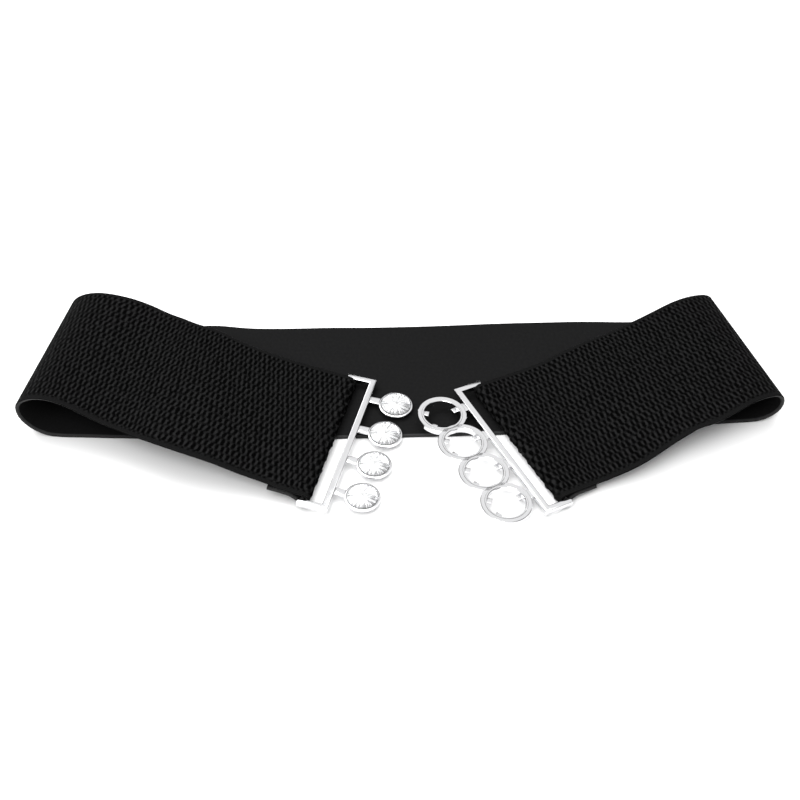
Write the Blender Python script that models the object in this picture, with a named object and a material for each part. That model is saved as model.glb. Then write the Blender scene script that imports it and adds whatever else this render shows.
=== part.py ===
"""Wide elastic stretch belt with a button-through buckle, laid open on a flat surface.

The webbing is one long band. Its back stretch lies flat with the smooth inner face up,
each side turns over in a loose loop, and each front stretch comes forward, outer face up,
to a metal buckle half. The band's ends are turned under round the rods of the halves.
The left half carries stone-set discs, the right half the rings that they button through.
Units are metres, +Z is up, and the belt rests on z = 0 with the middle of its bounds
over the origin.
"""
import math
from collections import namedtuple

import bmesh
import bpy
import numpy as np
from mathutils import Matrix, Quaternion, Vector

MM = 0.001

# Webbing
BAND_WIDTH = 75.0 * MM
BAND_WALL = 1.6 * MM
LEFT_LENGTH = 321.3 * MM
RIGHT_LENGTH = 298.4 * MM
HEM_TAIL = 9.0 * MM
HEM_RISE_DEG = 30.0
HEM_EASE_RADIUS = 5.0 * MM
SEWN_PAST_TAIL = 2.3 * MM
BACK_HEADING_DEG = 1.9
LEFT_ROD_LIFT = 0.1 * MM
RIGHT_ROD_LIFT = -0.3 * MM
LEFT_HALF_LIFT_DEG = 5.1
RIGHT_HALF_LIFT_DEG = 0.0

# Fits
CLEARANCE = 0.3 * MM

# Buckle frames
METAL_THICKNESS = 2.7 * MM
METAL_EDGE = 0.35 * MM
ROD_RADIUS = 1.3 * MM
BAR_WIDTH = 3.0 * MM
ARM_WIDTH = 2.7 * MM
ARM_PAST_ROD = 1.8 * MM
SLOT_WIDTH = 6.0 * MM
FASTENER_PITCH = 19.05 * MM
FASTENER_COUNT = 4

# Discs
DISC_RADIUS = 7.95 * MM
DISC_FROM_BAR = 12.2 * MM
DISC_DROP = 0.6 * MM
CUP_HEIGHT = 2.5 * MM
CUP_FLOOR = 0.7 * MM
CUP_RIM = 0.9 * MM
CUP_FOOT_CHAMFER = 0.9 * MM
TURNED_STEPS = 40
TAB_WIDTH = 3.8 * MM
TAB_THICKNESS = 1.5 * MM
TAB_BELOW_RIM = 0.6 * MM

# Stones
STONE_FACETS = 16
STONE_HEIGHT = 2.3 * MM
STONE_GIRDLE_HEIGHT = 1.1 * MM
STONE_TABLE_SHARE = 0.42
STONE_MID_SHARE = 0.78
STONE_MID_RISE = 0.62

# Rings
RING_RADIUS = 11.15 * MM
RING_WALL = 2.8 * MM
RING_FROM_BAR = 12.5 * MM
RING_INSET = 0.1 * MM
RING_SHOULDER = 0.5 * MM
RING_LIP_WIDTH = 0.7 * MM
RING_LIP_HEIGHT = 0.5 * MM
LUG_WIDTH = 5.0 * MM
LUG_INSET = 0.3 * MM
PRONG_WIDTH = 2.8 * MM
PRONG_REACH = 2.3 * MM
PRONG_THICKNESS = 0.8 * MM
PRONG_RISE = 0.4 * MM
PRONG_ANGLES_DEG = (8.0, 140.0, 212.0)

# How each side of the band runs from the middle of the back to the sewn end. A share is of
# that side's length without the sewn end. Turn bends the band over, skew slants the line that
# it bends about, swing turns it in its own plane, and twist turns it about its middle line.
# All four are in degrees.
Bend = namedtuple("Bend", "stretch share turn skew swing twist steps")
LEFT_BENDS = (
    Bend("back", 0.4964, 0.0, -4.4, 4.4, 0.0, 12),
    Bend("lift", 0.0593, 69.6, -4.4, 0.0, 0.0, 8),
    Bend("rise", 0.0428, 70.3, -8.0, 0.0, 0.0, 8),
    Bend("crown", 0.0428, 33.4, -5.5, 0.0, 0.0, 6),
    Bend("ease", 0.0593, 27.0, -0.6, -3.8, 0.0, 6),
    Bend("upper", 0.0922, -26.5, -11.0, -2.3, 0.0, 6),
    Bend("middle", 0.1054, 28.9, -18.3, 4.8, 0.35, 8),
    Bend("lower", 0.1018, -14.7, -26.6, 2.7, 0.35, 8),
)
RIGHT_BENDS = (
    Bend("back", 0.491, 0.0, 2.5, -3.1, 0.0, 10),
    Bend("lift", 0.0641, 0.0, 2.5, 0.0, 0.0, 4),
    Bend("rise", 0.0463, 87.0, -10.0, 0.0, 0.0, 10),
    Bend("crown", 0.0463, 78.0, -11.0, 0.0, 0.0, 10),
    Bend("ease", 0.0641, 27.5, -9.0, 0.0, 0.0, 6),
    Bend("upper", 0.0996, -8.5, 1.0, -0.5, 0.0, 6),
    Bend("middle", 0.1134, 16.0, 18.0, -0.5, 0.0, 8),
    Bend("lower", 0.0752, -22.0, -11.0, 2.2, 0.0, 8),
)
SEWN_END = Bend("sewn end", 0.0, 0.0, 0.0, 0.0, 0.0, 4)

SLEEVE_RADIUS = ROD_RADIUS + CLEARANCE + BAND_WALL
BAR_OUTER_X = SLEEVE_RADIUS + SLOT_WIDTH + BAR_WIDTH
FRAME_HALF_SPAN = BAND_WIDTH / 2 + CLEARANCE + ARM_WIDTH

Station = namedtuple("Station", "centre along across outward ruling")


def clear_scene():
    for old in list(bpy.data.objects):
        bpy.data.objects.remove(old, do_unlink=True)


def material(name, colour, roughness, metallic, transmission=0.0):
    made = bpy.data.materials.new(name)
    made.use_nodes = True
    shader = made.node_tree.nodes["Principled BSDF"]
    shader.inputs["Base Color"].default_value = (*colour, 1.0)
    shader.inputs["Roughness"].default_value = roughness
    shader.inputs["Metallic"].default_value = metallic
    shader.inputs["Transmission Weight"].default_value = transmission
    return made


def new_object(name, bm, finish, parent):
    """Turn a bmesh into a named object with its normals pointing out."""
    bmesh.ops.recalc_face_normals(bm, faces=bm.faces)
    mesh = bpy.data.meshes.new(name)
    bm.to_mesh(mesh)
    bm.free()
    mesh.materials.append(finish)
    made = bpy.data.objects.new(name, mesh)
    bpy.context.scene.collection.objects.link(made)
    made.parent = parent
    return made


def empty(name, parent, matrix=None):
    made = bpy.data.objects.new(name, None)
    made.empty_display_size = 10 * MM
    bpy.context.scene.collection.objects.link(made)
    made.parent = parent
    if matrix is not None:
        made.matrix_local = matrix
    return made


# The band's middle line

def hem_rows():
    """Length, turn and steps of each stretch of the turned-under end, from the rod on."""
    wrap_radius = ROD_RADIUS + CLEARANCE + BAND_WALL / 2
    rise_angle = math.radians(HEM_RISE_DEG)
    climb = 2 * wrap_radius - BAND_WALL - CLEARANCE
    bent_climb = (1 - math.cos(rise_angle)) * (wrap_radius + HEM_EASE_RADIUS)
    return (
        ((math.pi + rise_angle) * wrap_radius, math.pi + rise_angle, 12),
        ((climb - bent_climb) / math.sin(rise_angle), 0.0, 1),
        (rise_angle * HEM_EASE_RADIUS, -rise_angle, 4),
        (HEM_TAIL, 0.0, 1),
    )


def real_lengths(bends, length):
    """The sewn end is as long as the hem under it, and the bends share the rest."""
    sewn = sum(row[0] for row in hem_rows()[1:]) + SEWN_PAST_TAIL
    return [bend.share * (length - sewn) for bend in bends] + [sewn]


def walk(side, bends, length, front_slope):
    """Follow one side of the band from the middle of the back to its rod.

    The wall is bent about slanted straight lines only, so it keeps its flat shape.
    side is -1 for the left and 1 for the right. front_slope tips the front stretch down
    by that angle at the ease and levels it again before the sewn end.
    """
    heading = math.radians(BACK_HEADING_DEG)
    along = Vector((side * math.cos(heading), side * math.sin(heading), 0))
    across = Vector((-math.sin(heading), math.cos(heading), 0))
    centre = Vector((0, 0, BAND_WALL / 2))
    lengths = real_lengths(bends, length)
    ends = np.cumsum(lengths)
    middles = ends - np.array(lengths) / 2
    bends = bends + (SEWN_END,)
    skews = [math.radians(bend.skew) for bend in bends]
    tips = {"ease": front_slope, "lower": -front_slope}

    stations = []
    travelled = 0.0
    for bend, stretch_length in zip(bends, lengths):
        step = stretch_length / bend.steps
        turn = (math.radians(bend.turn) + tips.get(bend.stretch, 0.0)) / bend.steps
        swing = math.radians(bend.swing) / bend.steps
        twist = math.radians(bend.twist) / bend.steps
        for _ in range(bend.steps):
            stations.append(station(side, centre, along, across, np.interp(travelled, middles, skews)))
            skew = np.interp(travelled + step / 2, middles, skews)
            axis = -side * (across * math.cos(skew) + along * math.sin(skew))
            half_turned = Quaternion(axis, turn / 2) @ along
            centre = centre + half_turned * step
            bent = Quaternion(axis, turn)
            along = bent @ along
            across = bent @ across
            turned = Quaternion(-side * along.cross(across), swing)
            along = turned @ along
            across = Quaternion(along, -side * twist) @ (turned @ across)
            travelled += step
    stations.append(station(side, centre, along, across, 0.0))
    return stations


def station(side, centre, along, across, skew):
    outward = -side * along.cross(across)
    ruling = across + along * math.tan(skew)
    return Station(centre.copy(), along.copy(), across.copy(), outward, ruling)


def rod_centre(last):
    """The rod lies under the end of the front stretch, with the clearance between."""
    return last.centre - last.outward * (BAND_WALL / 2 + CLEARANCE + ROD_RADIUS)


def settled_walk(side, bends, length, rod_lift):
    """Slope the front stretch so that its rod comes to rest over the back stretch.

    rod_lift is how much higher the middle of the rod is than where its sleeve would
    just clear the back stretch, since the rod slopes and crosses only its near edge.
    """
    rest_height = SLEEVE_RADIUS + CLEARANCE + BAND_WALL + rod_lift
    gentle = math.radians(-20)
    steep = math.radians(20)
    for _ in range(30):
        slope = (gentle + steep) / 2
        if rod_centre(walk(side, bends, length, slope)[-1]).z > rest_height:
            gentle = slope
        else:
            steep = slope
    return walk(side, bends, length, slope)


def hem(side, last):
    """Carry the band on round its rod and back under the sewn end."""
    centre, along, across = last.centre.copy(), last.along.copy(), last.across.copy()
    axis = -side * across
    stations = []
    for length, turn, steps in hem_rows():
        step = length / steps
        for _ in range(steps):
            centre = centre + (Quaternion(axis, turn / steps / 2) @ along) * step
            along = Quaternion(axis, turn / steps) @ along
            stations.append(station(side, centre, along, across, 0.0))
    return stations


def elastic_band(left, right, finish, parent):
    """Loft the wall through every station from the left hem to the right hem."""
    bm = bmesh.new()
    half_width = BAND_WIDTH / 2
    half_wall = BAND_WALL / 2
    rings = []
    for place in list(reversed(left)) + right[1:]:
        corners = (
            (-half_width, half_wall),
            (half_width, half_wall),
            (half_width, -half_wall),
            (-half_width, -half_wall),
        )
        places = [place.centre + place.ruling * w + place.outward * n for w, n in corners]
        rings.append([bm.verts.new(corner) for corner in places])
    for ring, following in zip(rings, rings[1:]):
        for i in range(4):
            j = (i + 1) % 4
            bm.faces.new((ring[i], ring[j], following[j], following[i]))
    bm.faces.new(rings[0])
    bm.faces.new(rings[-1])
    return new_object("elastic_band", bm, finish, parent)


# Metal shapes, each in its half's own frame: the rod's axis is Y, and X runs from it to
# the bar, towards the other half

def add_prism(bm, outline, low, high):
    """A flat outline of (x, y) points, made solid from low to high."""
    bottom = [bm.verts.new((x, y, low)) for x, y in outline]
    face = bm.faces.new(bottom)
    raised = bmesh.ops.extrude_face_region(bm, geom=[face])
    moved = [v for v in raised["geom"] if isinstance(v, bmesh.types.BMVert)]
    bmesh.ops.translate(bm, verts=moved, vec=(0, 0, high - low))


def add_turned(bm, profile, x, y):
    """Spin a closed profile of (radius, z) points about the vertical through (x, y)."""
    verts = [bm.verts.new((x + radius, y, z)) for radius, z in profile]
    loop = [bm.edges.new((a, b)) for a, b in zip(verts, verts[1:] + verts[:1])]
    bmesh.ops.spin(
        bm, geom=verts + loop, cent=(x, y, 0), axis=(0, 0, 1), angle=math.tau,
        steps=TURNED_STEPS, use_merge=True, use_duplicate=False,
    )


def box_outline(x0, x1, y0, y1):
    return ((x0, y0), (x1, y0), (x1, y1), (x0, y1))


def cutter(name, bm, parent):
    made = new_object(name, bm, bpy.data.materials["chrome"], parent)
    made.hide_render = True
    made.display_type = "WIRE"
    return made


def unite(base, tools):
    for tool in tools:
        union = base.modifiers.new(tool.name, "BOOLEAN")
        union.operation = "UNION"
        union.solver = "EXACT"
        union.object = tool


def frame_outline(facing):
    """The U of the bar and its two arms. facing is 1 or -1, the way the bar lies in X."""
    outer = BAR_OUTER_X * facing
    inner = (BAR_OUTER_X - BAR_WIDTH) * facing
    tail = -ARM_PAST_ROD * facing
    out_y = FRAME_HALF_SPAN
    in_y = FRAME_HALF_SPAN - ARM_WIDTH
    return (
        (tail, -out_y), (outer, -out_y), (outer, out_y), (tail, out_y),
        (tail, in_y), (inner, in_y), (inner, -in_y), (tail, -in_y),
    )


def frame_base(name, facing, finish, parent):
    bm = bmesh.new()
    add_prism(bm, frame_outline(facing), -METAL_THICKNESS / 2, METAL_THICKNESS / 2)
    bmesh.ops.bevel(
        bm, geom=list(bm.edges), offset=METAL_EDGE, offset_type="OFFSET", affect="EDGES",
        segments=1, profile=0.5, material=-1,
    )
    return new_object(name, bm, finish, parent)


def rod_tool(name, parent):
    bm = bmesh.new()
    lie_down = Matrix.Rotation(math.radians(90), 4, "X")
    bmesh.ops.create_cone(
        bm, cap_ends=True, segments=16, radius1=ROD_RADIUS, radius2=ROD_RADIUS,
        depth=2 * FRAME_HALF_SPAN - ARM_WIDTH, matrix=lie_down,
    )
    return cutter(name, bm, parent)


def fastener_rows():
    """The y of each disc or ring along its bar, from the far one to the near one."""
    middle = (FASTENER_COUNT - 1) / 2
    return [(middle - i) * FASTENER_PITCH for i in range(FASTENER_COUNT)]


# Disc half

def disc_x():
    return BAR_OUTER_X + DISC_FROM_BAR


def cup_rim_z():
    return METAL_THICKNESS / 2 - DISC_DROP


def cup_profile():
    """Outer wall, rim and recess of the cup that holds a stone."""
    rim = cup_rim_z()
    base = rim - CUP_HEIGHT
    floor = base + CUP_FLOOR
    inner = DISC_RADIUS - CUP_RIM
    return (
        (DISC_RADIUS - CUP_FOOT_CHAMFER, base),
        (DISC_RADIUS, base + CUP_FOOT_CHAMFER),
        (DISC_RADIUS, rim - METAL_EDGE),
        (DISC_RADIUS - METAL_EDGE, rim),
        (inner, rim),
        (inner, floor),
    )


def add_cup(bm, y):
    """A turned cup with a closed floor."""
    x = disc_x()
    verts = [bm.verts.new((x + radius, y, z)) for radius, z in cup_profile()]
    wall = [bm.edges.new((a, b)) for a, b in zip(verts, verts[1:])]
    bmesh.ops.spin(
        bm, geom=verts + wall, cent=(x, y, 0), axis=(0, 0, 1), angle=math.tau,
        steps=TURNED_STEPS, use_merge=True, use_duplicate=False,
    )
    open_edges = [edge for edge in bm.edges if edge.is_boundary]
    bmesh.ops.holes_fill(bm, edges=open_edges, sides=0)


def disc_buckle(finish, parent):
    """One casting: bar, arms, rod, tabs and cups."""
    base = frame_base("disc_buckle", 1, finish, parent)
    tools = [rod_tool("disc_rod_form", parent)]
    tab_top = cup_rim_z() - TAB_BELOW_RIM
    for i, y in enumerate(fastener_rows(), 1):
        tab = bmesh.new()
        outline = box_outline(
            BAR_OUTER_X - BAR_WIDTH / 2, disc_x() - DISC_RADIUS + CUP_RIM / 2,
            y - TAB_WIDTH / 2, y + TAB_WIDTH / 2,
        )
        add_prism(tab, outline, tab_top - TAB_THICKNESS, tab_top)
        tools.append(cutter(f"tab_form_{i}", tab, parent))
        cup = bmesh.new()
        add_cup(cup, y)
        tools.append(cutter(f"cup_form_{i}", cup, parent))
    unite(base, tools)
    return base


def disc_stone(name, y, finish, parent):
    """A round faceted stone with a table, seated in its cup with the clearance round it."""
    radius = DISC_RADIUS - CUP_RIM - CLEARANCE
    bottom = cup_rim_z() - CUP_HEIGHT + CUP_FLOOR + CLEARANCE
    girdle = bottom + STONE_GIRDLE_HEIGHT
    top = bottom + STONE_HEIGHT
    half_step = math.pi / STONE_FACETS
    x = disc_x()
    levels = (
        (radius, bottom, 0.0),
        (radius, girdle, 0.0),
        (radius * STONE_MID_SHARE, girdle + (top - girdle) * STONE_MID_RISE, half_step),
        (radius * STONE_TABLE_SHARE, top, 0.0),
    )
    bm = bmesh.new()
    rings = []
    for reach, z, shift in levels:
        ring = []
        for i in range(STONE_FACETS):
            angle = 2 * half_step * i + shift
            ring.append(bm.verts.new((x + reach * math.cos(angle), y + reach * math.sin(angle), z)))
        rings.append(ring)
    bm.faces.new(rings[0])
    bm.faces.new(rings[-1])
    for lower, upper in zip(rings, rings[1:]):
        edges = [bm.edges.get(pair) or bm.edges.new(pair) for pair in loop_pairs(lower)]
        edges += [bm.edges.get(pair) or bm.edges.new(pair) for pair in loop_pairs(upper)]
        bmesh.ops.bridge_loops(bm, edges=edges)
    return new_object(name, bm, finish, parent)


def loop_pairs(ring):
    return list(zip(ring, ring[1:] + ring[:1]))


# Ring half

def ring_x():
    return -(BAR_OUTER_X + RING_FROM_BAR)


def ring_profile():
    """A wall with a raised inner lip, falling away to the outer edge."""
    base = RING_INSET - METAL_THICKNESS / 2
    top = METAL_THICKNESS / 2 - RING_INSET
    inner = RING_RADIUS - RING_WALL
    return (
        (inner, base),
        (RING_RADIUS - METAL_EDGE, base),
        (RING_RADIUS, base + METAL_EDGE),
        (RING_RADIUS, top - RING_SHOULDER),
        (RING_RADIUS - RING_SHOULDER, top),
        (inner + RING_LIP_WIDTH + RING_LIP_HEIGHT, top),
        (inner + RING_LIP_WIDTH, top + RING_LIP_HEIGHT),
        (inner, top + RING_LIP_HEIGHT),
    )


def ring_buckle(finish, parent):
    """One casting: bar, arms, rod, lugs and the row of rings with their prongs."""
    base = frame_base("ring_buckle", -1, finish, parent)
    tools = [rod_tool("ring_rod_form", parent)]
    lug_top = METAL_THICKNESS / 2 - LUG_INSET
    for i, y in enumerate(fastener_rows(), 1):
        ring = bmesh.new()
        add_turned(ring, ring_profile(), ring_x(), y)
        tools.append(cutter(f"ring_form_{i}", ring, parent))
        lug = bmesh.new()
        outline = box_outline(
            ring_x() + RING_RADIUS - RING_WALL / 2, -(BAR_OUTER_X - BAR_WIDTH / 2),
            y - LUG_WIDTH / 2, y + LUG_WIDTH / 2,
        )
        add_prism(lug, outline, -lug_top, lug_top)
        tools.append(cutter(f"lug_form_{i}", lug, parent))
        for k, angle_deg in enumerate(PRONG_ANGLES_DEG, 1):
            tools.append(prong_tool(f"prong_form_{i}_{k}", y, math.radians(angle_deg), parent))
    unite(base, tools)
    return base


def prong_tool(name, y, angle, parent):
    """A small square tongue low on the inside of a ring."""
    bm = bmesh.new()
    wall_middle = RING_RADIUS - RING_WALL / 2
    tip = RING_RADIUS - RING_WALL - PRONG_REACH
    low = PRONG_RISE - METAL_THICKNESS / 2
    outline = box_outline(tip, wall_middle, -PRONG_WIDTH / 2, PRONG_WIDTH / 2)
    add_prism(bm, outline, low, low + PRONG_THICKNESS)
    place = Matrix.Translation((ring_x(), y, 0)) @ Matrix.Rotation(angle, 4, "Z")
    bmesh.ops.transform(bm, matrix=place, verts=bm.verts)
    return cutter(name, bm, parent)


def half_frame(last, facing, lift_deg):
    """Matrix of a buckle half: origin on its rod, Y along the rod, Z out of its face.

    lift_deg is how far the half is swung up about its rod from the sewn end's slope.
    """
    lifted = Quaternion(last.across, -facing * math.radians(lift_deg))
    x_axis = lifted @ (last.along * facing)
    z_axis = lifted @ last.outward
    turn = Matrix((x_axis, last.across, z_axis)).transposed().to_4x4()
    return Matrix.Translation(rod_centre(last)) @ turn


def centre_on_origin(root):
    """Move the belt so that the bottom centre of its bounds is the world's origin."""
    bpy.context.view_layer.update()
    depsgraph = bpy.context.evaluated_depsgraph_get()
    corners = []
    for made in bpy.context.scene.objects:
        if made.type == "MESH" and not made.hide_render:
            shape = made.evaluated_get(depsgraph)
            corners += [made.matrix_world @ vert.co for vert in shape.data.vertices]
    low = [min(corner[i] for corner in corners) for i in range(3)]
    high = [max(corner[i] for corner in corners) for i in range(3)]
    root.location = (-(low[0] + high[0]) / 2, -(low[1] + high[1]) / 2, -low[2])
    bpy.context.view_layer.update()


def build():
    clear_scene()
    webbing = material("black_webbing", (0.012, 0.012, 0.013), 0.85, 0.0)
    chrome = material("chrome", (0.80, 0.80, 0.81), 0.12, 1.0)
    crystal = material("crystal", (0.95, 0.96, 0.97), 0.03, 0.0, transmission=0.9)

    root = empty("belt", None)
    left = settled_walk(-1, LEFT_BENDS, LEFT_LENGTH, LEFT_ROD_LIFT)
    right = settled_walk(1, RIGHT_BENDS, RIGHT_LENGTH, RIGHT_ROD_LIFT)
    elastic_band(left + hem(-1, left[-1]), right + hem(1, right[-1]), webbing, root)

    disc_half = empty("disc_half", root, half_frame(left[-1], 1, LEFT_HALF_LIFT_DEG))
    disc_buckle(chrome, disc_half)
    for i, y in enumerate(fastener_rows(), 1):
        disc_stone(f"stone_{i}", y, crystal, disc_half)

    ring_half = empty("ring_half", root, half_frame(right[-1], -1, RIGHT_HALF_LIFT_DEG))
    ring_buckle(chrome, ring_half)
    centre_on_origin(root)


build()
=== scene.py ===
# Wide elastic stretch belt with a button-through buckle, laid open on a pale table.
import math
from collections import namedtuple

import bmesh
import bpy
import numpy as np
from mathutils import Matrix, Quaternion, Vector, noise


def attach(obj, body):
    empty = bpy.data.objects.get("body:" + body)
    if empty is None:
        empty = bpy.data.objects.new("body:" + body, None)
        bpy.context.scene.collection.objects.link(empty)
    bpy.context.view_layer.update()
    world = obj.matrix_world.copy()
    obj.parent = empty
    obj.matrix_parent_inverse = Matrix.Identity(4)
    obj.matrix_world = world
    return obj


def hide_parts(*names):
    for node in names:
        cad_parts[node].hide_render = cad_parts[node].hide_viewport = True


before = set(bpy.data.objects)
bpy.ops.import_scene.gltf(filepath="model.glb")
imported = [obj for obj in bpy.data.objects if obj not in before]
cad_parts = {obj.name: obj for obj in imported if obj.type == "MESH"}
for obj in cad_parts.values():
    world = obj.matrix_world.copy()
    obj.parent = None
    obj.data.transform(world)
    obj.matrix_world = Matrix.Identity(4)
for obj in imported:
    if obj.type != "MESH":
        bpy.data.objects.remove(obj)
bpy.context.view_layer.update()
MM = 0.001

# Camera, table and light
# The photograph looks down at about 45 degrees from 0.58 m with a short telephoto lens.
# The table is plain white, under a wide soft light, with a dark band of room at its horizon
# that the polished metal picks up along its edges.
look_at = Vector((-1.55, 9.57, 0.0)) * MM
camera_reach = 0.58
camera_tilt = math.radians(44.9)
camera_data = bpy.data.cameras.new("camera")
camera_data.sensor_width = 36.0
camera_data.lens = 55.7
camera = bpy.data.objects.new("camera", camera_data)
bpy.context.scene.collection.objects.link(camera)
camera_side = Vector((0, -math.cos(camera_tilt), math.sin(camera_tilt)))
camera.location = look_at + camera_side * camera_reach
camera.rotation_euler = (look_at - camera.location).to_track_quat("-Z", "Y").to_euler()
bpy.context.scene.camera = camera


def new_material(name, colour, roughness, metallic=0.0):
    made = bpy.data.materials.new(name)
    made.use_nodes = True
    shader = made.node_tree.nodes["Principled BSDF"]
    shader.inputs["Base Color"].default_value = (*colour, 1.0)
    shader.inputs["Roughness"].default_value = roughness
    shader.inputs["Metallic"].default_value = metallic
    return made


def finish_piece(name, bm, *finishes):
    """A finished piece from its bmesh, smooth all over, with its materials."""
    mesh = bpy.data.meshes.new(name)
    bm.to_mesh(mesh)
    bm.free()
    for face in mesh.polygons:
        face.use_smooth = True
    for finish in finishes:
        mesh.materials.append(finish)
    made = bpy.data.objects.new(name, mesh)
    bpy.context.scene.collection.objects.link(made)
    return made


table_reach = 6.0
table = bmesh.new()
bmesh.ops.create_grid(table, x_segments=2, y_segments=2, size=table_reach)
table_finish = new_material("white_table", (0.93, 0.93, 0.93), 0.9)
finish_piece("table", table, table_finish)
bpy.context.scene.view_settings.view_transform = "Standard"

dark_band_top = 0.50
ceiling_start = 0.94
room_brightness = 3.3
world = bpy.data.worlds.new("white_room")
bpy.context.scene.world = world
world.use_nodes = True
room = world.node_tree
direction = room.nodes.new("ShaderNodeTexCoord")
upward = room.nodes.new("ShaderNodeSeparateXYZ")
walls = room.nodes.new("ShaderNodeValToRGB")
walls.color_ramp.elements[0].position = dark_band_top
walls.color_ramp.elements[0].color = (0.015, 0.015, 0.015, 1)
walls.color_ramp.elements[1].position = ceiling_start
for height, level in ((0.60, 0.34), (0.86, 0.36)):
    walls.color_ramp.elements.new(height).color = (level, level, level, 1)
room.links.new(direction.outputs["Generated"], upward.inputs["Vector"])
room.links.new(upward.outputs["Z"], walls.inputs["Fac"])
room.links.new(walls.outputs["Color"], room.nodes["Background"].inputs["Color"])
room.nodes["Background"].inputs["Strength"].default_value = room_brightness


def softbox(name, place, aim, size, power):
    lamp = bpy.data.lights.new(name, "AREA")
    lamp.shape = "RECTANGLE"
    lamp.size, lamp.size_y = size
    lamp.energy = power
    made = bpy.data.objects.new(name, lamp)
    bpy.context.scene.collection.objects.link(made)
    made.location = place
    made.rotation_euler = (Vector(aim) - Vector(place)).to_track_quat("-Z", "Y").to_euler()


softbox("key_softbox", (-0.32, 0.34, 0.85), (0, 0, 0), (0.7, 0.5), 4.5)
softbox("front_softbox", (-0.22, -0.58, 0.78), (0, 0, 0), (0.6, 0.4), 5.0)

# Webbing
# One band of 75 mm woven elastic, crepe outside and smooth inside. It is cut flat here and
# folded along the same course as its solid: the back lies flat, each side turns over in a
# loop, and the ends are turned under round the buckle's rods and sewn.
band_width = 75.0 * MM
band_wall = 1.6 * MM
back_heading = math.radians(1.9)
rod_radius = 1.3 * MM
rod_clearance = 0.3 * MM
hem_tail = 9.0 * MM
hem_rise = math.radians(30)
hem_ease = 5.0 * MM
sewn_past_tail = 2.3 * MM
sleeve_radius = rod_radius + rod_clearance + band_wall

Bend = namedtuple("Bend", "share turn skew swing twist steps")
Side = namedtuple("Side", "sign length rod_lift bends")
left_side = Side(-1, 321.3 * MM, 0.1 * MM, (
    Bend(0.4964, 0.0, -4.4, 4.4, 0.0, 12),
    Bend(0.0593, 69.6, -4.4, 0.0, 0.0, 8),
    Bend(0.0428, 70.3, -8.0, 0.0, 0.0, 8),
    Bend(0.0428, 33.4, -5.5, 0.0, 0.0, 6),
    Bend(0.0593, 27.0, -0.6, -3.8, 0.0, 6),
    Bend(0.0922, -26.5, -11.0, -2.3, 0.0, 6),
    Bend(0.1054, 28.9, -18.3, 4.8, 0.35, 8),
    Bend(0.1018, -14.7, -26.6, 2.7, 0.35, 8),
))
right_side = Side(1, 298.4 * MM, -0.3 * MM, (
    Bend(0.491, 0.0, 2.5, -3.1, 0.0, 10),
    Bend(0.0641, 0.0, 2.5, 0.0, 0.0, 4),
    Bend(0.0463, 87.0, -10.0, 0.0, 0.0, 10),
    Bend(0.0463, 78.0, -11.0, 0.0, 0.0, 10),
    Bend(0.0641, 27.5, -9.0, 0.0, 0.0, 6),
    Bend(0.0996, -8.5, 1.0, -0.5, 0.0, 6),
    Bend(0.1134, 16.0, 18.0, -0.5, 0.0, 8),
    Bend(0.0752, -22.0, -11.0, 2.2, 0.0, 8),
))
ease_row, lower_row = 4, 7

wrap_radius = rod_radius + rod_clearance + band_wall / 2
hem_climb = 2 * wrap_radius - band_wall - rod_clearance
hem_slope = (hem_climb - (1 - math.cos(hem_rise)) * (wrap_radius + hem_ease)) / math.sin(hem_rise)
hem_rows = (
    ((math.pi + hem_rise) * wrap_radius, math.pi + hem_rise, 12),
    (hem_slope, 0.0, 1),
    (hem_rise * hem_ease, -hem_rise, 4),
    (hem_tail, 0.0, 1),
)
hem_length = sum(row[0] for row in hem_rows)
sewn_length = hem_length - hem_rows[0][0] + sewn_past_tail


def follow(side, front_slope):
    """Where the band's middle line runs: a row of (distance, centre, along, across, skew)."""
    along = Vector((side.sign * math.cos(back_heading), side.sign * math.sin(back_heading), 0))
    across = Vector((-math.sin(back_heading), math.cos(back_heading), 0))
    centre = Vector((0, 0, band_wall / 2))
    lengths = [bend.share * (side.length - sewn_length) for bend in side.bends] + [sewn_length]
    middles = np.cumsum(lengths) - np.array(lengths) / 2
    bends = side.bends + (Bend(0, 0, 0, 0, 0, 4),)
    skews = [math.radians(bend.skew) for bend in bends]
    places = []
    distance = 0.0
    for row, (bend, length) in enumerate(zip(bends, lengths)):
        step = length / bend.steps
        tip = {ease_row: front_slope, lower_row: -front_slope}.get(row, 0.0)
        turn = (math.radians(bend.turn) + tip) / bend.steps
        for _ in range(bend.steps):
            places.append((distance, centre, along, across, np.interp(distance, middles, skews)))
            skew = np.interp(distance + step / 2, middles, skews)
            axis = -side.sign * (across * math.cos(skew) + along * math.sin(skew))
            centre = centre + (Quaternion(axis, turn / 2) @ along) * step
            bent = Quaternion(axis, turn)
            along = bent @ along
            across = bent @ across
            swing = Quaternion(-side.sign * along.cross(across), math.radians(bend.swing) / bend.steps)
            along = swing @ along
            twist = Quaternion(along, -side.sign * math.radians(bend.twist) / bend.steps)
            across = twist @ (swing @ across)
            distance += step
    places.append((distance, centre, along, across, 0.0))
    return places


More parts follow.
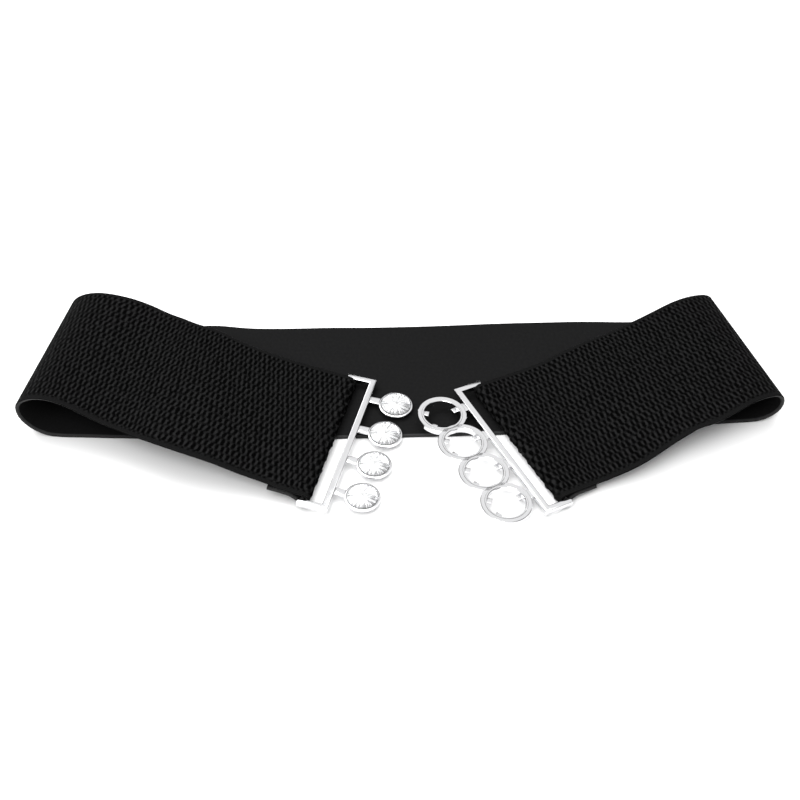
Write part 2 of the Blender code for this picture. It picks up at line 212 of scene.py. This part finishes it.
def settle(side):
    """Tip the front stretch until its rod rests over the back stretch, then add the hem."""
    rest = sleeve_radius + rod_clearance + band_wall + side.rod_lift
    gentle, steep = math.radians(-20), math.radians(20)
    halvings = 30
    for _ in range(halvings):
        slope = (gentle + steep) / 2
        _, centre, along, across, _ = follow(side, slope)[-1]
        outward = -side.sign * along.cross(across)
        if (centre - outward * (sleeve_radius - band_wall / 2)).z > rest:
            gentle = slope
        else:
            steep = slope
    places = follow(side, slope)
    distance, centre, along, across, _ = places[-1]
    for length, turn, steps in hem_rows:
        for _ in range(steps):
            half_turned = Quaternion(-side.sign * across, turn / steps / 2)
            centre = centre + (half_turned @ along) * length / steps
            along = Quaternion(-side.sign * across, turn / steps) @ along
            distance += length / steps
            places.append((distance, centre, along, across, 0.0))
    return places


def smooth_course(side):
    """Distances along the band with the centre, ruling, outward direction and slant at each."""
    places = settle(side)
    distances = np.array([place[0] for place in places])
    rows = []
    for _, centre, along, across, skew in places:
        slant = math.tan(skew)
        outward = -side.sign * along.cross(across)
        rows.append((*centre, *(across + along * slant), *outward, side.sign * slant))
    return distances * side.sign, np.array(rows)


left_distances, left_rows = smooth_course(left_side)
right_distances, right_rows = smooth_course(right_side)
course_at = np.concatenate((left_distances[::-1], right_distances[1:]))
course = np.concatenate((left_rows[::-1], right_rows[1:]))
course_slope = np.gradient(course, course_at, axis=0)


def on_course(distance):
    """A smooth curve through the rows: centre, ruling, outward and slant at a distance."""
    i = int(np.clip(np.searchsorted(course_at, distance) - 1, 0, len(course_at) - 2))
    gap = course_at[i + 1] - course_at[i]
    t = (distance - course_at[i]) / gap
    value = (
        (2 * t**3 - 3 * t**2 + 1) * course[i]
        + (t**3 - 2 * t**2 + t) * gap * course_slope[i]
        + (3 * t**2 - 2 * t**3) * course[i + 1]
        + (t**3 - t**2) * gap * course_slope[i + 1]
    )
    return Vector(value[:3]), Vector(value[3:6]), Vector(value[6:9]).normalized(), value[9]


root_shift = Vector((-1.55, 22.47, 0.0)) * MM
left_end = -(left_side.length + hem_length)
right_end = right_side.length + hem_length


def row_distances():
    """Rows across the band: close where the ends wrap their rods, wider elsewhere."""
    fine = 0.55 * MM
    coarse = 2.4 * MM
    fine_reach = 16 * MM
    left_fine = (left_end + hem_tail, -left_side.length + fine_reach)
    right_fine = (right_side.length - fine_reach, right_end - hem_tail)
    spans = (
        (left_end, left_fine[0], coarse), (*left_fine, fine), (left_fine[1], right_fine[0], coarse),
        (*right_fine, fine), (right_fine[1], right_end, coarse),
    )
    rows = [left_end]
    for start, end, step in spans:
        rows += list(np.linspace(start, end, max(2, round((end - start) / step)))[1:])
    return rows


# How far each selvedge wanders out from straight, as pulled elastic does: the reach, the place
# along the band and the half length of each wave, in millimetres.
far_edge_wander = (
    (1.9, -220, 13), (-1.6, -252, 12), (2.2, -96, 14), (0.4, -37, 16),
    (0.6, 48, 26), (-2.4, 120, 22), (0.7, 200, 16),
)
near_edge_wander = (
    (-0.6, -215, 20), (2.2, -254, 17), (-0.8, -286, 8), (1.2, 228, 26), (-0.7, 240, 7), (1.9, 259, 9),
)


def edge_wave(distance, w):
    waves = far_edge_wander if w > 0 else near_edge_wander
    return MM * sum(
        reach * math.exp(-(((distance / MM - place) / half_length) ** 2))
        for reach, place, half_length in waves
    )


# The crepe's bumps are long across the band and stagger down it. The sizes are in millimetres.
crepe_pitch = 2.4
crepe_span = 7.5


def crepe_height(along_mm, across_mm):
    return math.cos(math.tau * along_mm / crepe_pitch) * math.cos(math.tau * across_mm / crepe_span)


rows = row_distances()
columns = 116
cloth_unit = 0.1
band = bmesh.new()
bmesh.ops.create_grid(band, x_segments=len(rows) - 1, y_segments=columns, size=0.5)
flat_map = band.loops.layers.uv.new("cut_cloth")
for face in band.faces:
    for loop in face.loops:
        distance = rows[round((loop.vert.co.x + 0.5) * (len(rows) - 1))]
        w = loop.vert.co.y * band_width
        flat_place = distance + on_course(distance)[3] * w
        loop[flat_map].uv = (flat_place / cloth_unit, w / cloth_unit)
selvedge = 2.2 * MM
crepe_relief = 0.5 * MM
crepe_reach = 14 * MM
relief_margin = 0.5 * MM
fold_roughness = 0.7 * MM
fold_reach = 9 * MM
fold_grain = 450
edge_drop = 0.45 * MM
edge_round = 0.6 * MM
for vert in band.verts:
    row = round((vert.co.x + 0.5) * (len(rows) - 1))
    distance = rows[row]
    w = vert.co.y * band_width
    centre, ruling, outward, slant = on_course(distance)
    lift = band_wall / 2
    end_gap = min(abs(distance + left_side.length), abs(distance - right_side.length))
    past_rod = -left_side.length > distance or distance > right_side.length
    near_rod = 1.0 if past_rod else max(0.0, 1 - end_gap / crepe_reach)
    inside = min(1.0, max(0.0, (band_width / 2 - selvedge - abs(w)) / relief_margin))
    at_fold = near_rod * inside * max(0.0, 1 - end_gap / fold_reach)
    lift += fold_roughness * at_fold * noise.noise(Vector((distance, w, 0)) * fold_grain)
    lift += crepe_relief * near_rod * inside * crepe_height((distance + slant * w) / MM, w / MM)
    lift -= edge_drop * max(0.0, 1 - (band_width / 2 - abs(w)) / edge_round)
    w += edge_wave(distance, w) * 2 * w / band_width
    vert.co = centre + ruling * w + outward * lift + root_shift
bmesh.ops.reverse_faces(band, faces=band.faces)


def add_node(tree, kind, **settings):
    """A shader node with its plain settings, and its unlinked inputs by name."""
    made = tree.nodes.new(kind)
    for name, value in settings.items():
        if hasattr(made, name):
            setattr(made, name, value)
        else:
            made.inputs[name.replace("_", " ")].default_value = value
    return made


def cloth_coordinates(tree):
    """The flat cut in millimetres: x across the band, y along it."""
    cut = add_node(tree, "ShaderNodeUVMap", uv_map="cut_cloth")
    in_millimetres = (cloth_unit / MM, cloth_unit / MM, cloth_unit / MM)
    turned = add_node(
        tree, "ShaderNodeMapping", Rotation=(0, 0, math.radians(90)), Scale=in_millimetres,
    )
    tree.links.new(cut.outputs["UV"], turned.inputs["Vector"])
    return turned.outputs["Vector"]


def crepe_finish():
    """Outer face: oval bumps in staggered rows with painted shade darkening the gaps, and plain woven
    selvedges.
    """
    wander_reach = (2.4, 1.5, 0)
    unevenness = 2.5
    yarn_share = 0.6
    body_edge = (band_width / 2 - selvedge) / MM
    finish = new_material("crepe_elastic_painted_shade", (0.01, 0.01, 0.01), 0.7)
    tree = finish.node_tree
    shader = tree.nodes["Principled BSDF"]
    shader.inputs["Specular IOR Level"].default_value = 0.01
    place = cloth_coordinates(tree)
    wander = add_node(tree, "ShaderNodeTexNoise", Scale=0.28, Detail=3.0, Roughness=0.7)
    tree.links.new(place, wander.inputs["Vector"])
    bent = add_node(tree, "ShaderNodeVectorMath", operation="MULTIPLY_ADD")
    bent.inputs[1].default_value = wander_reach
    tree.links.new(wander.outputs["Color"], bent.inputs[0])
    tree.links.new(place, bent.inputs[2])
    turns = add_node(tree, "ShaderNodeVectorMath", operation="MULTIPLY")
    turns.inputs[1].default_value = (math.tau / crepe_span, math.tau / crepe_pitch, 0)
    tree.links.new(bent.outputs["Vector"], turns.inputs[0])
    phases = add_node(tree, "ShaderNodeSeparateXYZ")
    tree.links.new(turns.outputs["Vector"], phases.inputs["Vector"])
    waves = []
    for axis in ("X", "Y"):
        wave = add_node(tree, "ShaderNodeMath", operation="COSINE")
        tree.links.new(phases.outputs[axis], wave.inputs[0])
        waves.append(wave)
    bumps = add_node(tree, "ShaderNodeMath", operation="MULTIPLY")
    tree.links.new(waves[0].outputs["Value"], bumps.inputs[0])
    tree.links.new(waves[1].outputs["Value"], bumps.inputs[1])
    uneven = add_node(tree, "ShaderNodeTexNoise", Scale=0.55, Detail=2.0, Roughness=0.6)
    tree.links.new(place, uneven.inputs["Vector"])
    shifted = add_node(tree, "ShaderNodeMath", operation="MULTIPLY_ADD")
    shifted.inputs[1].default_value = unevenness
    shifted.inputs[2].default_value = -unevenness / 2
    tree.links.new(uneven.outputs["Fac"], shifted.inputs[0])
    varied = add_node(tree, "ShaderNodeMath", operation="ADD")
    tree.links.new(bumps.outputs["Value"], varied.inputs[0])
    tree.links.new(shifted.outputs["Value"], varied.inputs[1])
    rounded = add_node(
        tree, "ShaderNodeMapRange", From_Min=-0.6, From_Max=0.95, To_Min=0.0, To_Max=0.7,
    )
    rounded.interpolation_type = "SMOOTHSTEP"
    tree.links.new(varied.outputs["Value"], rounded.inputs["Value"])

    apart = add_node(tree, "ShaderNodeSeparateXYZ")
    tree.links.new(place, apart.inputs["Vector"])
    reach = add_node(tree, "ShaderNodeMath", operation="ABSOLUTE")
    tree.links.new(apart.outputs["X"], reach.inputs[0])
    body = add_node(
        tree, "ShaderNodeMapRange",
        From_Min=body_edge + 0.3, From_Max=body_edge - 0.3, To_Min=0.0, To_Max=1.0,
    )
    tree.links.new(reach.outputs["Value"], body.inputs["Value"])
    crepe = add_node(tree, "ShaderNodeMath", operation="MULTIPLY")
    tree.links.new(rounded.outputs["Result"], crepe.inputs[0])
    tree.links.new(body.outputs["Result"], crepe.inputs[1])

    cords = add_node(
        tree, "ShaderNodeTexWave", bands_direction="X", Scale=0.42, Distortion=0.3, Detail=1.0,
    )
    tree.links.new(place, cords.inputs["Vector"])
    edge_weave = add_node(
        tree, "ShaderNodeMapRange", From_Min=0.0, From_Max=1.0, To_Min=0.25, To_Max=0.45,
    )
    tree.links.new(cords.outputs["Fac"], edge_weave.inputs["Value"])
    height = add_node(tree, "ShaderNodeMix", data_type="FLOAT")
    tree.links.new(body.outputs["Result"], height.inputs["Factor"])
    tree.links.new(edge_weave.outputs["Result"], height.inputs["A"])
    tree.links.new(crepe.outputs["Value"], height.inputs["B"])

    # Fine yarn noise: relief for the bump, and painted glints through the colour below.
    yarn = add_node(tree, "ShaderNodeTexNoise", Scale=2.6, Detail=4.0, Roughness=0.65)
    tree.links.new(place, yarn.inputs["Vector"])
    relief_and_painted_shade = add_node(tree, "ShaderNodeMath", operation="MULTIPLY_ADD")
    relief_and_painted_shade.inputs[1].default_value = yarn_share
    tree.links.new(yarn.outputs["Fac"], relief_and_painted_shade.inputs[0])
    tree.links.new(height.outputs["Result"], relief_and_painted_shade.inputs[2])
    relief = add_node(tree, "ShaderNodeBump", Strength=1.0, Distance=0.75 * MM)
    tree.links.new(relief_and_painted_shade.outputs["Value"], relief.inputs["Height"])
    tree.links.new(relief.outputs["Normal"], shader.inputs["Normal"])

    # Painted shade and highlight: the colour runs from near black in the gaps to lighter on the bump
    # tops.
    tone = add_node(tree, "ShaderNodeValToRGB")
    tone.color_ramp.elements[0].color = (0.0001, 0.0001, 0.0001, 1)
    tone.color_ramp.elements[0].position = 0.28
    tone.color_ramp.elements[1].color = (0.0150, 0.0150, 0.0152, 1)
    tone.color_ramp.elements[1].position = 1.0
    tree.links.new(relief_and_painted_shade.outputs["Value"], tone.inputs["Fac"])
    tree.links.new(tone.outputs["Color"], shader.inputs["Base Color"])
    return finish


def lining_finish():
    """Inner face: close plain weave, charcoal, with very fine ribs along the band."""
    rib_share = 0.3
    finish = new_material("smooth_elastic", (0.017, 0.017, 0.0175), 0.8)
    tree = finish.node_tree
    shader = tree.nodes["Principled BSDF"]
    shader.inputs["Specular IOR Level"].default_value = 0.01
    place = cloth_coordinates(tree)
    ribs = add_node(
        tree, "ShaderNodeTexWave", bands_direction="X", Scale=0.35, Distortion=0.8, Detail=2.0,
    )
    tree.links.new(place, ribs.inputs["Vector"])
    yarn = add_node(tree, "ShaderNodeTexNoise", Scale=0.7, Detail=6.0)
    tree.links.new(place, yarn.inputs["Vector"])
    weave = add_node(tree, "ShaderNodeMath", operation="MULTIPLY_ADD")
    weave.inputs[1].default_value = rib_share
    tree.links.new(ribs.outputs["Fac"], weave.inputs[0])
    tree.links.new(yarn.outputs["Fac"], weave.inputs[2])
    relief = add_node(tree, "ShaderNodeBump", Strength=0.5, Distance=0.08 * MM)
    tree.links.new(weave.outputs["Value"], relief.inputs["Height"])
    tree.links.new(relief.outputs["Normal"], shader.inputs["Normal"])
    tone = add_node(tree, "ShaderNodeValToRGB")
    tone.color_ramp.elements[0].color = (0.0056, 0.0056, 0.0057, 1)
    tone.color_ramp.elements[1].color = (0.0104, 0.0104, 0.0106, 1)
    tree.links.new(weave.outputs["Value"], tone.inputs["Fac"])
    tree.links.new(tone.outputs["Color"], shader.inputs["Base Color"])
    return finish


def selvedge_finish():
    """The thin side of the band: tight turned yarns, a little uneven."""
    finish = new_material("bound_edge", (0.008, 0.008, 0.008), 0.8)
    tree = finish.node_tree
    shader = tree.nodes["Principled BSDF"]
    where = add_node(tree, "ShaderNodeTexCoord")
    turns = add_node(tree, "ShaderNodeTexNoise", Scale=1100.0, Detail=4.0, Roughness=0.6)
    tree.links.new(where.outputs["Object"], turns.inputs["Vector"])
    relief = add_node(tree, "ShaderNodeBump", Strength=0.6, Distance=0.12 * MM)
    tree.links.new(turns.outputs["Fac"], relief.inputs["Height"])
    tree.links.new(relief.outputs["Normal"], shader.inputs["Normal"])
    tone = add_node(tree, "ShaderNodeValToRGB")
    tone.color_ramp.elements[0].color = (0.0045, 0.0045, 0.0045, 1)
    tone.color_ramp.elements[0].position = 0.3
    tone.color_ramp.elements[1].color = (0.0115, 0.0115, 0.0117, 1)
    tone.color_ramp.elements[1].position = 0.7
    tree.links.new(turns.outputs["Fac"], tone.inputs["Fac"])
    tree.links.new(tone.outputs["Color"], shader.inputs["Base Color"])
    return finish


webbing = finish_piece("webbing", band, crepe_finish(), lining_finish(), selvedge_finish())
wall = webbing.modifiers.new("wall", "SOLIDIFY")
wall.thickness = band_wall
wall.offset = -1.0
wall.material_offset = 1
wall.material_offset_rim = 2
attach(webbing, "band")
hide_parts("elastic_band")

# Disc half of the buckle
# A polished zinc casting: bar and two arms, the rod that the webbing wraps, and four round
# cups on short tabs. It swings on the rod in the sewn end.
bar_width = 3.0 * MM
arm_width = 2.7 * MM
slot_width = 6.0 * MM
arm_past_rod = 1.8 * MM
metal_thickness = 2.7 * MM
pitch = 19.05 * MM
bar_outer = sleeve_radius + slot_width + bar_width
half_span = band_width / 2 + rod_clearance + arm_width
rows_of_four = [(1.5 - i) * pitch for i in range(4)]
slab_edge = 0.35 * MM
small_edge = 0.2 * MM
crisp_deg = 30
rod_facets = 32
cup_facets = 72
ring_facets = 96


def chrome_finish():
    finish = new_material("polished_plating", (0.68, 0.68, 0.69), 0.1, 1.0)
    tree = finish.node_tree
    shader = tree.nodes["Principled BSDF"]
    where = add_node(tree, "ShaderNodeTexCoord")
    wear = add_node(tree, "ShaderNodeTexNoise", Scale=260.0, Detail=5.0, Roughness=0.6)
    tree.links.new(where.outputs["Object"], wear.inputs["Vector"])
    dull = add_node(tree, "ShaderNodeMapRange", From_Min=0.35, From_Max=0.7, To_Min=0.06, To_Max=0.17)
    tree.links.new(wear.outputs["Fac"], dull.inputs["Value"])
    tree.links.new(dull.outputs["Result"], shader.inputs["Roughness"])
    ripple = add_node(tree, "ShaderNodeBump", Strength=0.25, Distance=0.05 * MM)
    tree.links.new(wear.outputs["Fac"], ripple.inputs["Height"])
    tree.links.new(ripple.outputs["Normal"], shader.inputs["Normal"])
    return finish


chrome = chrome_finish()


def rod_frame(side, facing, lift_deg):
    """The half's place: origin on its rod, Y along the rod, Z out of its face."""
    _, centre, along, across, _ = settle(side)[-1 - sum(row[2] for row in hem_rows)]
    outward = -side.sign * along.cross(across)
    lifted = Quaternion(across, -facing * math.radians(lift_deg))
    x_axis = lifted @ (along * facing)
    turn = Matrix((x_axis, across, lifted @ outward)).transposed().to_4x4()
    return Matrix.Translation(centre - outward * (sleeve_radius - band_wall / 2) + root_shift) @ turn


def add_slab(bm, outline, low, high, edge):
    """A flat outline made solid from low to high, with its edges rounded over."""
    face = bm.faces.new([bm.verts.new((x, y, low)) for x, y in outline])
    raised = bmesh.ops.extrude_face_region(bm, geom=[face])["geom"]
    tops = [part for part in raised if isinstance(part, bmesh.types.BMVert)]
    bmesh.ops.translate(bm, verts=tops, vec=(0, 0, high - low))
    slab = set(tops + list(face.verts)) | {v for v in bm.verts if v.co.z == low and v.link_faces}
    edges = [e for e in bm.edges if e.verts[0] in slab and e.verts[1] in slab]
    bmesh.ops.recalc_face_normals(bm, faces=bm.faces)
    bmesh.ops.bevel(
        bm, geom=edges, offset=edge, offset_type="OFFSET", affect="EDGES",
        segments=3, profile=0.5, material=-1,
    )


def add_spun(bm, profile, x, y, steps):
    """A closed profile of (radius, z) points turned once about the vertical at (x, y)."""
    verts = [bm.verts.new((x + radius, y, z)) for radius, z in profile]
    loop = [bm.edges.new(pair) for pair in zip(verts, verts[1:] + verts[:1])]
    bmesh.ops.spin(
        bm, geom=verts + loop, cent=(x, y, 0), axis=(0, 0, 1), angle=math.tau, steps=steps,
        use_merge=True, use_duplicate=False,
    )
    bmesh.ops.recalc_face_normals(bm, faces=bm.faces)


def finish_metal(name, bm, place, body, sharp_deg=50):
    """Put a piece made in its half's frame in its place on the belt."""
    bmesh.ops.transform(bm, matrix=place, verts=bm.verts)
    made = finish_piece(name, bm, chrome)
    made.data.set_sharp_from_angle(angle=math.radians(sharp_deg))
    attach(made, body)
    return made


def buckle_frame(name, facing, place, body):
    """The U of bar and arms with the rod between the arms."""
    outer = bar_outer * facing
    inner = (bar_outer - bar_width) * facing
    tail = -arm_past_rod * facing
    in_span = half_span - arm_width
    outline = (
        (tail, -half_span), (outer, -half_span), (outer, half_span), (tail, half_span),
        (tail, in_span), (inner, in_span), (inner, -in_span), (tail, -in_span),
    )
    bm = bmesh.new()
    add_slab(bm, outline, -metal_thickness / 2, metal_thickness / 2, slab_edge)
    bmesh.ops.create_cone(
        bm, cap_ends=True, segments=rod_facets, radius1=rod_radius, radius2=rod_radius,
        depth=2 * half_span - arm_width, matrix=Matrix.Rotation(math.radians(90), 4, "X"),
    )
    return finish_metal(name, bm, place, body)


disc_half_lift_deg = 5.1
disc_place = rod_frame(left_side, 1, disc_half_lift_deg)
disc_frame = buckle_frame("disc_frame", 1, disc_place, "disc_half")
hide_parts("disc_buckle")

disc_radius = 7.95 * MM
disc_reach = 12.2 * MM
disc_x = bar_outer + disc_reach
rim_z = metal_thickness / 2 - 0.9 * MM
cup_base = rim_z - 1.6 * MM
seat_radius = disc_radius - 0.9 * MM
cup_floor = cup_base + 0.5 * MM
cup_eye = 0.4 * MM
tab_half = 1.9 * MM
tab_tip = disc_x - disc_radius + 0.5 * MM
tab_root = bar_outer - bar_width / 2
cup_profile = (
    (cup_eye, cup_base), (disc_radius - 0.8 * MM, cup_base),
    (disc_radius - 0.25 * MM, cup_base + 0.3 * MM), (disc_radius, cup_base + 0.7 * MM),
    (disc_radius, rim_z - 0.5 * MM), (disc_radius - 0.15 * MM, rim_z - 0.18 * MM),
    (disc_radius - 0.5 * MM, rim_z), (disc_radius - 0.8 * MM, rim_z),
    (seat_radius, rim_z - 0.2 * MM), (seat_radius, cup_floor), (cup_eye, cup_floor),
)
for i, y in enumerate(rows_of_four, 1):
    cup = bmesh.new()
    add_spun(cup, cup_profile, disc_x, y, cup_facets)
    finish_metal(f"stone_cup_{i}", cup, disc_place, "disc_half", crisp_deg)
    tab = bmesh.new()
    tab_outline = (
        (tab_root, y - tab_half), (tab_tip, y - tab_half),
        (tab_tip, y + tab_half), (tab_root, y + tab_half),
    )
    add_slab(tab, tab_outline, rim_z - 1.5 * MM, rim_z - 0.3 * MM, small_edge)
    finish_metal(f"disc_tab_{i}", tab, disc_place, "disc_half")

# Stones
# Four clear moulded stones, each a low dome cut in long radial facets over a pleated foil whose
# dark streaks and one-sided dark crescent are painted reflection and shade. They are glued into the
# cups.
stone_radius = seat_radius - 0.15 * MM
dome_radius = disc_radius - 1.0 * MM
stone_base = cup_base + 1.0 * MM
stone_top = rim_z + 1.0 * MM
facet_count = 24
soft_facet_deg = 6
foil_reach = stone_radius * 0.98
foil_drop = 0.1 * MM
foil_rise = 0.5 * MM
foil_eye = 0.03 * MM
pleat_depth = 0.18 * MM


def stone_finish():
    finish = new_material("clear_stone", (0.97, 0.975, 0.98), 0.02)
    shader = finish.node_tree.nodes["Principled BSDF"]
    shader.inputs["Transmission Weight"].default_value = 0.92
    shader.inputs["IOR"].default_value = 1.5
    tree = finish.node_tree
    where = add_node(tree, "ShaderNodeTexCoord")
    haze = add_node(tree, "ShaderNodeTexNoise", Scale=420.0, Detail=3.0)
    tree.links.new(where.outputs["Object"], haze.inputs["Vector"])
    soft = add_node(tree, "ShaderNodeMapRange", From_Min=0.3, From_Max=0.75, To_Min=0.0, To_Max=0.07)
    tree.links.new(haze.outputs["Fac"], soft.inputs["Value"])
    tree.links.new(soft.outputs["Result"], shader.inputs["Roughness"])
    return finish


clear_stone = stone_finish()


def foil_finish():
    """Silver foil: painted reflection streaks that fade towards the middle, and painted shade in a
    crescent on one side.
    """
    # Painted shade and reflection: where the dark crescent sits, how much the streaks darken towards
    # the edge, how much the middle is lightened.
    painted_crescent_deg = 20
    edge_painted_streaks = 0.22
    middle_lift = 0.20
    finish = new_material("pleated_foil_painted_streaks", (0.93, 0.93, 0.94), 0.18, 1.0)
    tree = finish.node_tree
    round_cut = add_node(tree, "ShaderNodeUVMap", uv_map="round_foil")
    spread = add_node(tree, "ShaderNodeMapping", Scale=(40, 0.9, 1))
    tree.links.new(round_cut.outputs["UV"], spread.inputs["Vector"])
    # Painted reflection: dark radial streaks put into the foil's colour.
    painted_streaks = add_node(tree, "ShaderNodeTexNoise", Scale=1.0, Detail=2.0, Roughness=0.6)
    tree.links.new(spread.outputs["Vector"], painted_streaks.inputs["Vector"])
    polar = add_node(tree, "ShaderNodeSeparateXYZ")
    tree.links.new(round_cut.outputs["UV"], polar.inputs["Vector"])
    clearing = add_node(tree, "ShaderNodeMath", operation="MULTIPLY_ADD")
    clearing.inputs[1].default_value = -edge_painted_streaks
    tree.links.new(polar.outputs["Y"], clearing.inputs[0])
    raised = add_node(tree, "ShaderNodeMath", operation="ADD")
    raised.inputs[1].default_value = middle_lift
    tree.links.new(painted_streaks.outputs["Fac"], raised.inputs[0])
    tree.links.new(raised.outputs["Value"], clearing.inputs[2])
    # Painted shade: a dark crescent on the same side of every foil.
    angle = add_node(tree, "ShaderNodeMath", operation="MULTIPLY_ADD")
    angle.inputs[1].default_value = math.tau
    angle.inputs[2].default_value = math.radians(painted_crescent_deg)
    tree.links.new(polar.outputs["X"], angle.inputs[0])
    facing = add_node(tree, "ShaderNodeMath", operation="COSINE")
    tree.links.new(angle.outputs["Value"], facing.inputs[0])
    sideways = add_node(tree, "ShaderNodeMath", operation="MULTIPLY")
    tree.links.new(facing.outputs["Value"], sideways.inputs[0])
    tree.links.new(polar.outputs["Y"], sideways.inputs[1])
    painted_crescent = add_node(
        tree, "ShaderNodeMapRange", From_Min=-1.0, From_Max=1.0, To_Min=0.10, To_Max=-0.17,
    )
    tree.links.new(sideways.outputs["Value"], painted_crescent.inputs["Value"])
    painted_streak_shade = add_node(tree, "ShaderNodeMath", operation="ADD")
    tree.links.new(clearing.outputs["Value"], painted_streak_shade.inputs[0])
    tree.links.new(painted_crescent.outputs["Result"], painted_streak_shade.inputs[1])
    shade = add_node(tree, "ShaderNodeValToRGB")
    shade.color_ramp.elements[0].color = (0.16, 0.16, 0.165, 1)
    shade.color_ramp.elements[0].position = 0.40
    shade.color_ramp.elements[1].color = (0.97, 0.97, 0.975, 1)
    shade.color_ramp.elements[1].position = 0.52
    tree.links.new(painted_streak_shade.outputs["Value"], shade.inputs["Fac"])
    tree.links.new(shade.outputs["Color"], tree.nodes["Principled BSDF"].inputs["Base Color"])
    where = add_node(tree, "ShaderNodeTexCoord")
    crinkle = add_node(tree, "ShaderNodeTexNoise", Scale=900.0, Detail=2.0)
    tree.links.new(where.outputs["Object"], crinkle.inputs["Vector"])
    fine = add_node(tree, "ShaderNodeBump", Strength=0.35, Distance=0.1 * MM)
    tree.links.new(crinkle.outputs["Fac"], fine.inputs["Height"])
    tree.links.new(fine.outputs["Normal"], tree.nodes["Principled BSDF"].inputs["Normal"])
    return finish


foil = foil_finish()
levels = (
    (stone_radius, stone_base), (stone_radius, rim_z - 0.2 * MM), (dome_radius, rim_z + 0.05 * MM),
    (dome_radius * 0.97, rim_z + 0.3 * MM), (dome_radius * 0.84, rim_z + 0.62 * MM),
    (dome_radius * 0.6, rim_z + 0.87 * MM), (dome_radius * 0.2, stone_top),
)
for i, y in enumerate(rows_of_four, 1):
    stone = bmesh.new()
    rings = []
    for reach, z in levels:
        level_place = Matrix.Translation((disc_x, y, z))
        level_ring = bmesh.ops.create_circle(
            stone, segments=facet_count, radius=reach, matrix=level_place,
        )
        rings.append(level_ring["verts"])
    for lower, upper in zip(rings, rings[1:]):
        both = lower + upper
        level_edges = {e for v in both for e in v.link_edges if e.other_vert(v) in both}
        level_edges = [e for e in level_edges if (e.verts[0] in lower) == (e.verts[1] in lower)]
        bmesh.ops.bridge_loops(stone, edges=level_edges)
    stone.faces.new(rings[-1])
    stone.faces.new(rings[0])
    bmesh.ops.recalc_face_normals(stone, faces=stone.faces)
    bmesh.ops.transform(stone, matrix=disc_place, verts=stone.verts)
    cut_stone = finish_piece(f"cut_stone_{i}", stone, clear_stone)
    cut_stone.data.set_sharp_from_angle(angle=math.radians(soft_facet_deg))
    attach(cut_stone, "disc_half")
    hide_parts(f"stone_{i}")

    pleats = bmesh.new()
    cone = Matrix.Translation((disc_x, y, stone_base - foil_drop))
    bmesh.ops.create_cone(
        pleats, cap_ends=False, segments=4 * facet_count, radius1=foil_reach, radius2=foil_eye,
        depth=foil_rise, matrix=cone,
    )
    round_map = pleats.loops.layers.uv.new("round_foil")
    for face in pleats.faces:
        middle = face.calc_center_median()
        turn = math.atan2(middle.y - y, middle.x - disc_x)
        for loop in face.loops:
            off = loop.vert.co - Vector((disc_x, y, loop.vert.co.z))
            lean = math.remainder(math.atan2(off.y, off.x) - turn, math.tau)
            loop[round_map].uv = ((turn + lean) / math.tau, off.length / stone_radius)
    for vert in pleats.verts:
        off = vert.co - Vector((disc_x, y, vert.co.z))
        around = math.atan2(off.y, off.x) * facet_count * 2
        vert.co.z += pleat_depth * math.cos(around) * off.length / stone_radius
    bmesh.ops.transform(pleats, matrix=disc_place, verts=pleats.verts)
    backing = finish_piece(f"stone_foil_{i}", pleats, foil)
    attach(backing, "disc_half")

# Ring half of the buckle
# The other casting: the same bar, arms and rod, four rings that run into each other and to
# the bar by short lugs, and small square tongues inside each ring that hold the discs.
ring_half_lift_deg = 0.0
ring_place = rod_frame(right_side, -1, ring_half_lift_deg)
ring_frame = buckle_frame("ring_frame", -1, ring_place, "ring_half")
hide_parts("ring_buckle")

ring_radius = 11.15 * MM
ring_inner = ring_radius - 2.8 * MM
ring_reach = 12.5 * MM
ring_x = -(bar_outer + ring_reach)
ring_low = 0.1 * MM - metal_thickness / 2
ring_top = metal_thickness / 2 - 0.1 * MM
lip_rise = 0.14 * MM
ring_profile = (
    (ring_inner, ring_low), (ring_radius - 0.35 * MM, ring_low),
    (ring_radius, ring_low + 0.35 * MM), (ring_radius, ring_top - 0.2 * MM),
    (ring_radius - 0.2 * MM, ring_top), (ring_inner + 1.0 * MM, ring_top),
    (ring_inner + 0.88 * MM, ring_top + lip_rise), (ring_inner + 0.2 * MM, ring_top + lip_rise),
    (ring_inner, ring_top - 0.05 * MM),
)
wall_lap = 1.4 * MM
lug_half = 2.5 * MM
lug_tip = ring_x + ring_radius - wall_lap
lug_root = -(bar_outer - bar_width / 2)
lug_low = 0.3 * MM - metal_thickness / 2
tongue_half = 1.4 * MM
tongue_tip = ring_inner - 2.3 * MM
tongue_root = ring_radius - wall_lap
tongue_low = 0.4 * MM - metal_thickness / 2
tongue_thickness = 0.8 * MM
tongue_edge = 0.12 * MM
tongue_angles = (8, 140, 212)
for i, y in enumerate(rows_of_four, 1):
    ring = bmesh.new()
    add_spun(ring, ring_profile, ring_x, y, ring_facets)
    finish_metal(f"ring_{i}", ring, ring_place, "ring_half", crisp_deg)
    lug = bmesh.new()
    lug_outline = (
        (lug_tip, y - lug_half), (lug_root, y - lug_half),
        (lug_root, y + lug_half), (lug_tip, y + lug_half),
    )
    add_slab(lug, lug_outline, lug_low, -lug_low, small_edge)
    finish_metal(f"ring_lug_{i}", lug, ring_place, "ring_half")
    for k, angle in enumerate(tongue_angles, 1):
        tongue = bmesh.new()
        tongue_outline = (
            (tongue_tip, -tongue_half), (tongue_root, -tongue_half),
            (tongue_root, tongue_half), (tongue_tip, tongue_half),
        )
        add_slab(tongue, tongue_outline, tongue_low, tongue_low + tongue_thickness, tongue_edge)
        swing_round = Matrix.Translation((ring_x, y, 0)) @ Matrix.Rotation(math.radians(angle), 4, "Z")
        bmesh.ops.transform(tongue, matrix=swing_round, verts=tongue.verts)
        finish_metal(f"ring_tongue_{i}_{k}", tongue, ring_place, "ring_half")
